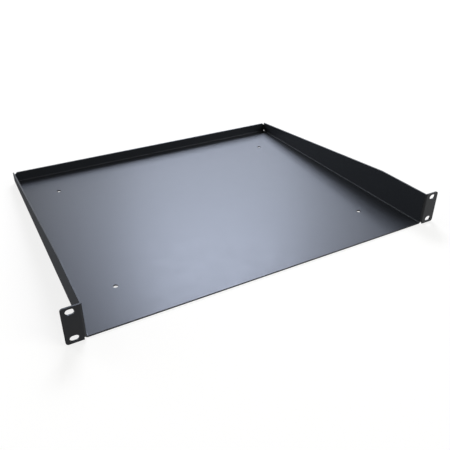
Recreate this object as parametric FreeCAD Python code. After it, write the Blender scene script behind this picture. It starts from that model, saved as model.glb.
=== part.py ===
"""Cantilever rack shelf, one rack unit high, folded from one sheet of steel.

The shelf is a flat tray.  Its two sides fold up into flanges, which are full height at the
front and taper down to the rear.  The rear edge folds up into a low lip that stands between
the flanges, and the front of each flange folds outwards into a slotted mounting ear.

Axes: X across the rack, Y from the front to the rear, Z up.  The shelf is laid out from the
floor's underside and the ears' front faces, and is moved at the end so that its origin is
the centre of the four slots, on the ears' rear faces, which bear on the rack's rails.  Only
the right-hand ear, holes and cuts are drawn, and the left-hand ones are their mirror images.
All sizes are in millimetres.
"""

import FreeCAD, Part
import os
from FreeCAD import Vector

# --- Sheet ---------------------------------------------------------------------------------
SHEET = 1.7                    # 16 gauge steel with its powder coat
FOLD_INSIDE_RADIUS = 1.1       # inside radius of every fold
LASER_GAP = 0.2                # width of the cut that parts an ear's fold from the floor's

# --- Tray ----------------------------------------------------------------------------------
TRAY_WIDTH = 444.5             # over the outsides of the two flanges
TRAY_DEPTH = 381.0             # from the ears' front faces to the back of the rear lip
FLOOR_SETBACK = 2.0            # the floor's front edge behind the ears' front faces

# --- Side flanges --------------------------------------------------------------------------
FULL_HEIGHT_RUN = 80.3         # full height from the ears' front faces back to here
FLANGE_REAR_HEIGHT = 16.0      # at the rear end, from the floor's underside

# --- Rear lip and corners ------------------------------------------------------------------
LIP_CHAMFER = 3.5              # across the lip's two top corners
LIP_END_GAP = 0.45             # between each end of the lip and the flange beside it
CORNER_RELIEF_RADIUS = 1.5     # of the round relief where a side fold meets the rear fold

# --- Mounting ears -------------------------------------------------------------------------
EAR_WIDTH = 19.05              # from the flange's outside to the ear's side
EAR_HEIGHT = 43.2              # one rack unit, less the clearance to the next one
EAR_LIFT = 0.3                 # the ears' lower edges above the floor's underside
EAR_CORNER_RADIUS = 3.0        # on the two outer corners of each ear

# --- Ear slots -----------------------------------------------------------------------------
SLOT_LENGTH = 9.2
SLOT_WIDTH = 6.6
SLOT_SIDE_INSET = 8.75         # from a slot's centre to the ear's side
SLOT_END_INSET = 5.725         # from a slot's centre to the ear's top or bottom

# --- Tie-down holes in the floor -----------------------------------------------------------
HOLE_DIAMETER = 5.6
HOLE_SIDE_INSET = 50.8         # from the flange's outside
HOLE_FRONT_INSET = 63.5        # from the ears' front faces
HOLE_REAR_INSET = 63.5         # from the back of the rear lip

# --- Worked out from the sizes above -------------------------------------------------------
FOLD_OUTSIDE_RADIUS = FOLD_INSIDE_RADIUS + SHEET
FLANGE_OUTSIDE = TRAY_WIDTH / 2
FLANGE_INSIDE = FLANGE_OUTSIDE - SHEET
REAR_FOLD_START = TRAY_DEPTH - FOLD_OUTSIDE_RADIUS
LIP_HEIGHT = FLANGE_REAR_HEIGHT                        # level with the flanges' rear ends
PANEL_WIDTH = TRAY_WIDTH + 2 * EAR_WIDTH               # 482.6, for a 19 inch rack
SLOT_SPACING_ACROSS = PANEL_WIDTH - 2 * SLOT_SIDE_INSET    # 465.1, as the rack's rails
SLOT_SPACING_UP = EAR_HEIGHT - 2 * SLOT_END_INSET      # 31.75, as the rack's rails
TOP = EAR_LIFT + EAR_HEIGHT
SLOT_CENTRE_HEIGHT = EAR_LIFT + EAR_HEIGHT / 2
EAR_FOLD_BOTTOM = FOLD_OUTSIDE_RADIUS + LASER_GAP
OVERCUT = 5.0                  # how far a cutting tool runs past the sheet


def folded_edges(corners, radius):
    """Edges of an open path through the corners, with an arc of the radius at each inner one."""
    edges = []
    start = corners[0]
    for before, corner, after in zip(corners, corners[1:], corners[2:]):
        arc_start = corner + (before - corner).normalize() * radius
        arc_end = corner + (after - corner).normalize() * radius
        centre = arc_start + arc_end - corner
        middle = centre + (corner - centre).normalize() * radius
        if (arc_start - start).Length > 1e-6:
            edges.append(Part.LineSegment(start, arc_start).toShape())
        edges.append(Part.Arc(arc_start, middle, arc_end).toShape())
        start = arc_end
    if (corners[-1] - start).Length > 1e-6:
        edges.append(Part.LineSegment(start, corners[-1]).toShape())
    return edges


def folded_sheet(outside, inside, travel):
    """A sheet with right-angled folds: the section between its two faces, extruded."""
    outer_edges = folded_edges(outside, FOLD_OUTSIDE_RADIUS)
    inner_edges = folded_edges(inside, FOLD_INSIDE_RADIUS)
    first_end = Part.LineSegment(outside[0], inside[0]).toShape()
    last_end = Part.LineSegment(outside[-1], inside[-1]).toShape()
    outline = Part.Wire(Part.__sortEdges__(outer_edges + inner_edges + [first_end, last_end]))
    return Part.Face(outline).extrude(travel)


def is_at(edge, **place):
    """Whether an edge's centre has the given coordinates, such as x and z."""
    centre = edge.CenterOfMass
    return all(abs(getattr(centre, axis) - value) < 1e-6 for axis, value in place.items())


def box_between(low, high):
    """A box from its lowest corner to its highest."""
    size = high - low
    return Part.makeBox(size.x, size.y, size.z, low)


def obround_tool(centre, length, width, depth):
    """A prism along Y with a slot's outline, its long way across X, centred on a point."""
    radius = width / 2
    reach = (length - width) / 2
    left = centre + Vector(-reach, -depth / 2, 0)
    right = centre + Vector(reach, -depth / 2, 0)
    along_y = Vector(0, 1, 0)
    left_end = Part.makeCylinder(radius, depth, left, along_y)
    right_end = Part.makeCylinder(radius, depth, right, along_y)
    middle = box_between(left - Vector(0, 0, radius), right + Vector(0, depth, radius))
    return left_end.fuse([right_end, middle])


def both_sides(right_hand_shapes):
    """Right-hand shapes together with their mirror images across the tray's middle."""
    mirrored = [shape.mirror(Vector(0, 0, 0), Vector(1, 0, 0)) for shape in right_hand_shapes]
    return right_hand_shapes + mirrored


def make_channel():
    """Floor and both side flanges, folded from one strip, with every end still square."""
    outer, inner = FLANGE_OUTSIDE, FLANGE_INSIDE
    outside = [Vector(-outer, 0, TOP), Vector(-outer, 0, 0), Vector(outer, 0, 0), Vector(outer, 0, TOP)]
    inside = [
        Vector(-inner, 0, TOP),
        Vector(-inner, 0, SHEET),
        Vector(inner, 0, SHEET),
        Vector(inner, 0, TOP),
    ]
    return folded_sheet(outside, inside, Vector(0, TRAY_DEPTH, 0))


def flange_taper_tool():
    """Prism across the tray that takes the tops of both flanges down to the rear height."""
    x = -FLANGE_OUTSIDE - OVERCUT
    fall = (TOP - FLANGE_REAR_HEIGHT) / (TRAY_DEPTH - FULL_HEIGHT_RUN)
    rear = TRAY_DEPTH + OVERCUT
    corners = [
        Vector(x, FULL_HEIGHT_RUN, TOP),
        Vector(x, rear, FLANGE_REAR_HEIGHT - fall * OVERCUT),
        Vector(x, rear, TOP + OVERCUT),
        Vector(x, FULL_HEIGHT_RUN, TOP + OVERCUT),
    ]
    outline = Part.makePolygon(corners + corners[:1])
    return Part.Face(outline).extrude(Vector(-2 * x, 0, 0))


def floor_front_tool():
    """Box that sets the floor's front edge back behind the ears."""
    low = Vector(-FLANGE_OUTSIDE - OVERCUT, -OVERCUT, -OVERCUT)
    high = Vector(FLANGE_OUTSIDE + OVERCUT, FLOOR_SETBACK, FOLD_OUTSIDE_RADIUS)
    return box_between(low, high)


def ear_fold_room():
    """Space in front of the flanges, above the floor's side folds, for the ears' folds."""
    low = Vector(-FLANGE_OUTSIDE - OVERCUT, -OVERCUT, FOLD_OUTSIDE_RADIUS)
    high = Vector(FLANGE_OUTSIDE + OVERCUT, FOLD_OUTSIDE_RADIUS, TOP + OVERCUT)
    return box_between(low, high)


def rear_fold_room():
    """Space behind the floor, below the flanges' rear ends, for the rear lip's fold."""
    low = Vector(-FLANGE_OUTSIDE - OVERCUT, REAR_FOLD_START, -OVERCUT)
    high = Vector(FLANGE_OUTSIDE + OVERCUT, TRAY_DEPTH + OVERCUT, FOLD_OUTSIDE_RADIUS)
    return box_between(low, high)


def make_rear_lip():
    """Rear lip with its fold, between the flanges, with its two top corners cut off."""
    end = FLANGE_INSIDE - LIP_END_GAP
    back = TRAY_DEPTH
    front = TRAY_DEPTH - SHEET
    outside = [Vector(-end, REAR_FOLD_START, 0), Vector(-end, back, 0), Vector(-end, back, LIP_HEIGHT)]
    inside = [
        Vector(-end, REAR_FOLD_START, SHEET),
        Vector(-end, front, SHEET),
        Vector(-end, front, LIP_HEIGHT),
    ]
    lip = folded_sheet(outside, inside, Vector(2 * end, 0, 0))
    top_corners = [
        edge
        for edge in lip.Edges
        if is_at(edge, x=-end, z=LIP_HEIGHT) or is_at(edge, x=end, z=LIP_HEIGHT)
    ]
    return lip.makeChamfer(LIP_CHAMFER, top_corners)


def corner_relief_tool():
    """Round relief at the right rear corner, centred on the crossing of the two folds.

    A ball leaves a round edge in the floor, the flange and the lip alike, as the one hole
    cut in the flat blank does once the three walls are folded.
    """
    middle_of_fold = FOLD_OUTSIDE_RADIUS / 2
    centre = Vector(FLANGE_OUTSIDE - middle_of_fold, TRAY_DEPTH - middle_of_fold, middle_of_fold)
    return Part.makeSphere(CORNER_RELIEF_RADIUS, centre)


def ear_notch_tool():
    """Notch below the right ear's fold, which parts that fold from the floor's own fold."""
    fold_end = FLANGE_OUTSIDE + FOLD_INSIDE_RADIUS
    low = Vector(FLANGE_INSIDE - OVERCUT, -OVERCUT, -OVERCUT)
    high = Vector(fold_end, FOLD_OUTSIDE_RADIUS + OVERCUT, EAR_FOLD_BOTTOM)
    return box_between(low, high)


def make_ear():
    """Right mounting ear, with the fold that joins it to the flange."""
    start = FOLD_OUTSIDE_RADIUS
    inner, outer, side = FLANGE_INSIDE, FLANGE_OUTSIDE, PANEL_WIDTH / 2
    z = EAR_LIFT
    outside = [Vector(inner, start, z), Vector(inner, 0, z), Vector(side, 0, z)]
    inside = [Vector(outer, start, z), Vector(outer, SHEET, z), Vector(side, SHEET, z)]
    ear = folded_sheet(outside, inside, Vector(0, 0, EAR_HEIGHT))
    outer_corners = [edge for edge in ear.Edges if is_at(edge, x=side, y=SHEET / 2)]
    ear = ear.makeFillet(EAR_CORNER_RADIUS, outer_corners)
    return ear.cut(ear_notch_tool())


def slot_tools():
    """The two slots of the right ear."""
    tools = []
    for up in (-1, 1):
        height = SLOT_CENTRE_HEIGHT + up * SLOT_SPACING_UP / 2
        centre = Vector(SLOT_SPACING_ACROSS / 2, SHEET / 2, height)
        tools.append(obround_tool(centre, SLOT_LENGTH, SLOT_WIDTH, SHEET + 2 * OVERCUT))
    return tools


def hole_tools():
    """The two tie-down holes in the right half of the floor."""
    tools = []
    for y in (HOLE_FRONT_INSET, TRAY_DEPTH - HOLE_REAR_INSET):
        base = Vector(FLANGE_OUTSIDE - HOLE_SIDE_INSET, y, -OVERCUT)
        tools.append(Part.makeCylinder(HOLE_DIAMETER / 2, SHEET + 2 * OVERCUT, base))
    return tools


def make_shelf():
    """The whole folded shelf as one solid, with its origin at the centre of the ear slots."""
    channel = make_channel()
    channel = channel.cut([flange_taper_tool(), floor_front_tool(), ear_fold_room(), rear_fold_room()])
    folded = channel.fuse([make_rear_lip()] + both_sides([make_ear()]))
    folded = folded.removeSplitter()
    shelf = folded.cut(both_sides([corner_relief_tool()] + slot_tools() + hole_tools()))
    shelf.translate(Vector(0, -SHEET, -SLOT_CENTRE_HEIGHT))
    return shelf


def main():
    """Build the shelf and write it to parts/shelf.step."""
    os.makedirs("parts", exist_ok=True)
    shelf = make_shelf()
    shelf.exportStep("parts/shelf.step")
    box = shelf.optimalBoundingBox()
    print(f"shelf: {len(shelf.Solids)} solid, {len(shelf.Faces)} faces, {shelf.Volume:.0f} mm3")
    print(f"size: {box.XLength:.2f} x {box.YLength:.2f} x {box.ZLength:.2f} mm")


main()
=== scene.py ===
"""Looks of a cantilever rack shelf: its powder coat, the studio round it and the camera.

The shelf is one folded sheet, so its single CAD node carries the whole object.  This script
coats that node, lights it on a plain pale floor and looks at it from the front left.
Every length is in metres, in the frame of the CAD model: X across the rack, Y from the front
to the rear, Z up, and the origin at the centre of the four ear slots.
"""

import logging
import math
from dataclasses import dataclass

import bpy
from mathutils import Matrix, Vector


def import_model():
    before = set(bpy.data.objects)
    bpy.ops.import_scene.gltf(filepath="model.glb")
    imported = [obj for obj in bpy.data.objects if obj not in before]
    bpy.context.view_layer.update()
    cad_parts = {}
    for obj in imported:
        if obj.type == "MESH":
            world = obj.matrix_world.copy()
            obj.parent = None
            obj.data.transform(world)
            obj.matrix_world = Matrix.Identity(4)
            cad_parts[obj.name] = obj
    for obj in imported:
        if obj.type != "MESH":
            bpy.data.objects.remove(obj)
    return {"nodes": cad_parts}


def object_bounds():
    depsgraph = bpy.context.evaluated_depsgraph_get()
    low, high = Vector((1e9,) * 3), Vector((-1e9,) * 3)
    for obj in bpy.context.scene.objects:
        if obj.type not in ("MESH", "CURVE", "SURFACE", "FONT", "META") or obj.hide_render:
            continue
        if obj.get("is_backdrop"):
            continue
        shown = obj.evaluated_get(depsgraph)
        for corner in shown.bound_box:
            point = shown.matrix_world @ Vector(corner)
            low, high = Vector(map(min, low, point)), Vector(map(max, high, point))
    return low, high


Colour = tuple[float, float, float]

MM = 0.001
WHITE = 1.0                    # the strength at which a glow or the sky is white to the eye
WATTS_PER_RADIANCE = 4.0       # power of an area lamp of one square metre at a radiance of one

# Nearly all values of a noise texture lie between these two.
NOISE_LOW = 0.3
NOISE_HIGH = 0.7

# Light of the sky through the window, and what the walls and the room make of it.
DAYLIGHT: Colour = (0.72, 0.80, 1.0)
WALL_LIGHT: Colour = (0.77, 0.86, 1.0)
PANE_LIGHT: Colour = (0.78, 0.87, 1.0)
ROOM_LIGHT: Colour = (0.82, 0.90, 1.0)

log = logging.getLogger("rack_shelf")


@dataclass(frozen=True)
class Blotches:
    """A noise pattern: the size of its blotches, and how many finer layers it has."""

    size: float
    layers: float


@dataclass(frozen=True)
class PowderCoat:
    """Black satin powder coat: a dark film with a fine orange-peel skin and a soft sheen.

    The skin's tiny bumps hide one another when the coat is seen at a low slant, so its
    sheen fades there: it starts to at ``dull_from`` and is gone at ``dull_to``.  Both are
    1 less the cosine of the angle between the eye and the surface's normal.  The coat
    also rounds every edge that it runs over, by ``edge_radius``.
    """

    name: str = "black_powder_coat"
    colour: Colour = (0.0195, 0.020, 0.0215)
    specular_level: float = 0.17
    roughness: float = 0.33
    roughness_swing: float = 0.012
    clouds: Blotches = Blotches(size=14 * MM, layers=3.0)
    dull_from: float = 0.70
    dull_to: float = 0.88
    dull_roughness: float = 0.95
    peel: Blotches = Blotches(size=1.8 * MM, layers=1.0)
    peel_height: float = 0.03 * MM
    grain: Blotches = Blotches(size=0.5 * MM, layers=2.0)
    grain_height: float = 0.012 * MM
    edge_radius: float = 0.20 * MM
    edge_samples: int = 6

    def dress(self, sheet: bpy.types.Object) -> None:
        """Puts the coat on every material slot of a sheet.

        Args:
            sheet: The object to coat.
        """
        material = self.make()
        for slot in sheet.material_slots:
            slot.material = material

    def make(self) -> bpy.types.Material:
        """Builds the coat's nodes.

        Returns:
            The finished material.
        """
        material = bpy.data.materials.new(self.name)
        material.use_nodes = True
        tree = material.node_tree
        shader = tree.nodes["Principled BSDF"]
        shader.inputs["Base Color"].default_value = (*self.colour, 1.0)
        shader.inputs["Specular IOR Level"].default_value = self.specular_level
        place = tree.nodes.new("ShaderNodeTexCoord").outputs["Object"]
        tree.links.new(self.add_sheen(tree, place), shader.inputs["Roughness"])
        tree.links.new(self.add_skin(tree, place), shader.inputs["Normal"])
        return material

    def add_sheen(
        self, tree: bpy.types.NodeTree, place: bpy.types.NodeSocket
    ) -> bpy.types.NodeSocket:
        """Adds a roughness that varies in faint clouds and rises at a low slant.

        Args:
            tree: The material's node tree.
            place: The socket of coordinates, in metres.

        Returns:
            The socket with the roughness.
        """
        swing = tree.nodes.new("ShaderNodeMapRange")
        swing.inputs["From Min"].default_value = NOISE_LOW
        swing.inputs["From Max"].default_value = NOISE_HIGH
        swing.inputs["To Min"].default_value = self.roughness - self.roughness_swing
        swing.inputs["To Max"].default_value = self.roughness + self.roughness_swing
        tree.links.new(add_noise(tree, place, self.clouds), swing.inputs["Value"])

        # At its own blend of one half, Facing is 1 less the cosine of the angle.
        glance = tree.nodes.new("ShaderNodeLayerWeight")
        dulling = tree.nodes.new("ShaderNodeMapRange")
        dulling.interpolation_type = "SMOOTHSTEP"
        dulling.inputs["From Min"].default_value = self.dull_from
        dulling.inputs["From Max"].default_value = self.dull_to
        dulling.inputs["To Max"].default_value = self.dull_roughness
        tree.links.new(swing.outputs["Result"], dulling.inputs["To Min"])
        tree.links.new(glance.outputs["Facing"], dulling.inputs["Value"])
        return dulling.outputs["Result"]

    def add_skin(
        self, tree: bpy.types.NodeTree, place: bpy.types.NodeSocket
    ) -> bpy.types.NodeSocket:
        """Adds the skin: rounded edges, with the orange peel on them and the grain on that.

        Args:
            tree: The material's node tree.
            place: The socket of coordinates, in metres.

        Returns:
            The socket with the surface's normal.
        """
        edges = tree.nodes.new("ShaderNodeBevel")
        edges.samples = self.edge_samples
        edges.inputs["Radius"].default_value = self.edge_radius
        normal = edges.outputs["Normal"]
        for pattern, height in ((self.peel, self.peel_height), (self.grain, self.grain_height)):
            bumps = tree.nodes.new("ShaderNodeBump")
            bumps.inputs["Distance"].default_value = height
            tree.links.new(add_noise(tree, place, pattern), bumps.inputs["Height"])
            tree.links.new(normal, bumps.inputs["Normal"])
            normal = bumps.outputs["Normal"]
        return normal


@dataclass
class Shelf:
    """The folded shelf: its CAD node and the coat on it."""

    sheet: bpy.types.Object
    coat: PowderCoat

    def build(self) -> None:
        """Coats the sheet."""
        self.coat.dress(self.sheet)


@dataclass(frozen=True)
class PaleGround:
    """Plain pale floor that glows for the eye and in reflections, and still takes a shadow.

    The glow sheds no light on the shelf.  It grows from ``glow_near``, which it has up to
    the distance ``near``, to full white at the distance ``far`` beyond the lamps' reach, so
    that the floor meets the sky without a dark band.  The colour is a little warm, so that
    the cool lamps leave it white.
    """

    colour: Colour = (0.190, 0.172, 0.143)
    glow_near: float = 0.80
    near: float = 0.8
    far: float = 3.0

    def make(self) -> bpy.types.Material:
        """Builds the floor's nodes.

        Returns:
            The finished material.
        """
        material = bpy.data.materials.new("pale_ground")
        material.use_nodes = True
        tree = material.node_tree
        tree.nodes.clear()
        matt = tree.nodes.new("ShaderNodeBsdfDiffuse")
        matt.inputs["Color"].default_value = (*self.colour, 1.0)
        glow = tree.nodes.new("ShaderNodeEmission")
        tree.links.new(self.add_growth(tree), glow.inputs["Color"])
        tree.links.new(add_strength(tree, WHITE), glow.inputs["Strength"])
        both = tree.nodes.new("ShaderNodeAddShader")
        tree.links.new(matt.outputs["BSDF"], both.inputs[0])
        tree.links.new(glow.outputs["Emission"], both.inputs[1])
        out = tree.nodes.new("ShaderNodeOutputMaterial")
        tree.links.new(both.outputs["Shader"], out.inputs["Surface"])
        return material

    def add_growth(self, tree: bpy.types.NodeTree) -> bpy.types.NodeSocket:
        """Adds the glow's level, which grows with the distance from the shelf.

        Args:
            tree: The material's node tree.

        Returns:
            The socket with the level.
        """
        place = tree.nodes.new("ShaderNodeTexCoord")
        distance = tree.nodes.new("ShaderNodeVectorMath")
        distance.operation = "LENGTH"
        tree.links.new(place.outputs["Object"], distance.inputs[0])
        growth = tree.nodes.new("ShaderNodeMapRange")
        growth.interpolation_type = "SMOOTHSTEP"
        growth.inputs["From Min"].default_value = self.near
        growth.inputs["From Max"].default_value = self.far
        growth.inputs["To Min"].default_value = self.glow_near
        growth.inputs["To Max"].default_value = WHITE
        tree.links.new(distance.outputs["Value"], growth.inputs["Value"])
        return growth.outputs["Result"]


def add_noise(
    tree: bpy.types.NodeTree, place: bpy.types.NodeSocket, pattern: Blotches
) -> bpy.types.NodeSocket:
    """Adds a noise texture whose blotches have a given size.

    Args:
        tree: The node tree to add to.
        place: The socket of coordinates, in metres.
        pattern: The size of the blotches and their finer layers.

    Returns:
        The socket with the noise's value, from 0 to 1.
    """
    noise = tree.nodes.new("ShaderNodeTexNoise")
    noise.inputs["Scale"].default_value = 1.0 / pattern.size
    noise.inputs["Detail"].default_value = pattern.layers
    tree.links.new(place, noise.inputs["Vector"])
    return noise.outputs["Fac"]


def add_strength(
    tree: bpy.types.NodeTree, seen: float, otherwise: float = 0.0
) -> bpy.types.NodeSocket:
    """Adds one strength for what the eye sees, straight or in a gloss or glass, and another.

    Args:
        tree: The node tree to add to.
        seen: The strength on camera, glossy and transmission rays.
        otherwise: The strength on all other rays, which light the shelf.

    Returns:
        The socket that carries the strength.
    """
    path = tree.nodes.new("ShaderNodeLightPath")
    sight = path.outputs["Is Camera Ray"]
    for kind in ("Is Glossy Ray", "Is Transmission Ray"):
        either = tree.nodes.new("ShaderNodeMath")
        either.operation = "MAXIMUM"
        tree.links.new(sight, either.inputs[0])
        tree.links.new(path.outputs[kind], either.inputs[1])
        sight = either.outputs["Value"]
    level = tree.nodes.new("ShaderNodeMapRange")
    level.inputs["To Min"].default_value = otherwise
    level.inputs["To Max"].default_value = seen
    tree.links.new(sight, level.inputs["Value"])
    return level.outputs["Result"]


@dataclass(frozen=True)
class SoftLamp:
    """A large soft lamp that faces a point from a bearing and a height angle, in degrees."""

    name: str
    bearing: float
    height_angle: float
    width: float
    height: float
    radiance: float
    colour: Colour
    distance: float = 4.0

    def build(self, target: Vector) -> None:
        """Hangs the lamp.

        Args:
            target: The point that the lamp faces.
        """
        light = bpy.data.lights.new(self.name, "AREA")
        light.shape = "RECTANGLE"
        light.size = self.width
        light.size_y = self.height
        light.energy = WATTS_PER_RADIANCE * self.radiance * self.width * self.height
        light.color = self.colour
        lamp = bpy.data.objects.new(self.name, light)
        bpy.context.scene.collection.objects.link(lamp)
        bearing = math.radians(self.bearing)
        height_angle = math.radians(self.height_angle)
        away = Vector((
            math.sin(bearing) * math.cos(height_angle),
            math.cos(bearing) * math.cos(height_angle),
            math.sin(height_angle),
        ))
        lamp.location = target + away * self.distance
        lamp.rotation_euler = away.to_track_quat("Z", "Y").to_euler()
        lamp.visible_camera = False


@dataclass
class Studio:
    """Plain floor, soft lamps and an even sky round the shelf.

    The floor lies a hair under the shelf, so that no two faces share one plane.
    """

    lowest_point: float
    target: Vector
    ground: PaleGround
    lamps: tuple[SoftLamp, ...]
    floor_reach: float = 30.0
    floor_gap: float = 0.2 * MM
    sky_colour: Colour = (0.97, 0.985, 1.0)
    sky_level: float = 0.10

    def build(self) -> None:
        """Lays the floor, hangs the lamps and sets the sky."""
        self.lay_floor()
        for lamp in self.lamps:
            lamp.build(self.target)
        self.set_sky()

    def lay_floor(self) -> None:
        """Lays a flat square floor under the shelf."""
        reach = self.floor_reach
        level = self.lowest_point - self.floor_gap
        corners = [
            (-reach, -reach, level),
            (reach, -reach, level),
            (reach, reach, level),
            (-reach, reach, level),
        ]
        mesh = bpy.data.meshes.new("ground")
        mesh.from_pydata(corners, [], [(0, 1, 2, 3)])
        ground = bpy.data.objects.new("ground", mesh)
        bpy.context.scene.collection.objects.link(ground)
        mesh.materials.append(self.ground.make())
        ground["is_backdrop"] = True

    def set_sky(self) -> None:
        """Sets an even pale sky, white to the eye and dim as a light."""
        world = bpy.data.worlds.new("studio_sky")
        world.use_nodes = True
        tree = world.node_tree
        sky = tree.nodes["Background"]
        sky.inputs["Color"].default_value = (*self.sky_colour, 1.0)
        tree.links.new(add_strength(tree, WHITE, self.sky_level), sky.inputs["Strength"])
        bpy.context.scene.world = world


@dataclass(frozen=True)
class Viewpoint:
    """A camera's place, its heading and tilt in radians, and its lens in millimetres."""

    place: Vector
    heading: float
    down: float
    lens: float
    shift: tuple[float, float] = (0.0, 0.0)
    sensor_width: float = 36.0
    nearest: float = 0.01
    farthest: float = 100.0

    def build(self) -> None:
        """Places the camera and makes it the scene's."""
        optics = bpy.data.cameras.new("camera")
        optics.lens = self.lens
        optics.sensor_width = self.sensor_width
        optics.shift_x, optics.shift_y = self.shift
        optics.clip_start = self.nearest
        optics.clip_end = self.farthest
        camera = bpy.data.objects.new("camera", optics)
        bpy.context.scene.collection.objects.link(camera)
        camera.location = self.place
        camera.rotation_euler = (math.pi / 2 - self.down, 0.0, -self.heading)
        bpy.context.scene.camera = camera


def make_lamps() -> tuple[SoftLamp, ...]:
    """Describes the lamps: a tall window behind the shelf, the left side, and a front fill.

    Returns:
        The lamps, none of them hung yet.
    """
    return (
        SoftLamp(
            "window_top", bearing=28, height_angle=43, width=1.34, height=0.56,
            radiance=32.0, colour=DAYLIGHT,
        ),
        SoftLamp(
            "window", bearing=28, height_angle=36, width=1.49, height=0.56,
            radiance=12.8, colour=DAYLIGHT,
        ),
        SoftLamp(
            "window_sill", bearing=28, height_angle=22, width=1.71, height=0.56,
            radiance=3.8, colour=DAYLIGHT,
        ),
        SoftLamp(
            "window_surround", bearing=28, height_angle=38, width=2.99, height=1.56,
            radiance=4.6, colour=DAYLIGHT,
        ),
        SoftLamp(
            "left_wall", bearing=-50, height_angle=20, width=3.95, height=1.41,
            radiance=3.6, colour=WALL_LIGHT,
        ),
        SoftLamp(
            "left_pane", bearing=-36, height_angle=40, width=1.10, height=1.10,
            radiance=6.0, colour=PANE_LIGHT,
        ),
        SoftLamp(
            "front_fill", bearing=140, height_angle=30, width=2.00, height=1.70,
            radiance=7.0, colour=ROOM_LIGHT,
        ),
    )


def main() -> None:
    """Coats the shelf, then builds the studio and the camera."""
    logging.basicConfig(level=logging.INFO, format="%(name)s: %(message)s")
    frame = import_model()
    cad_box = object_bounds()
    low, high = (Vector(corner) for corner in cad_box)

    shelf = Shelf(sheet=frame["nodes"]["shelf"], coat=PowderCoat())
    shelf.build()
    log.info("shelf: coated with %s", shelf.coat.name)

    studio = Studio(
        lowest_point=low.z,
        target=(low + high) / 2,
        ground=PaleGround(),
        lamps=make_lamps(),
    )
    studio.build()
    log.info("studio: floor, %d lamps and sky", len(studio.lamps))

    viewpoint = Viewpoint(
        place=Vector((-287.50, -394.69, 334.59)) * MM,
        heading=0.500,
        down=0.526,
        lens=42.12,
        shift=(0.0042, -0.0231),
    )
    viewpoint.build()
    log.info("camera: front left, looking down")

    bpy.context.scene.view_settings.view_transform = "Standard"


if __name__ == "__main__":
    main()
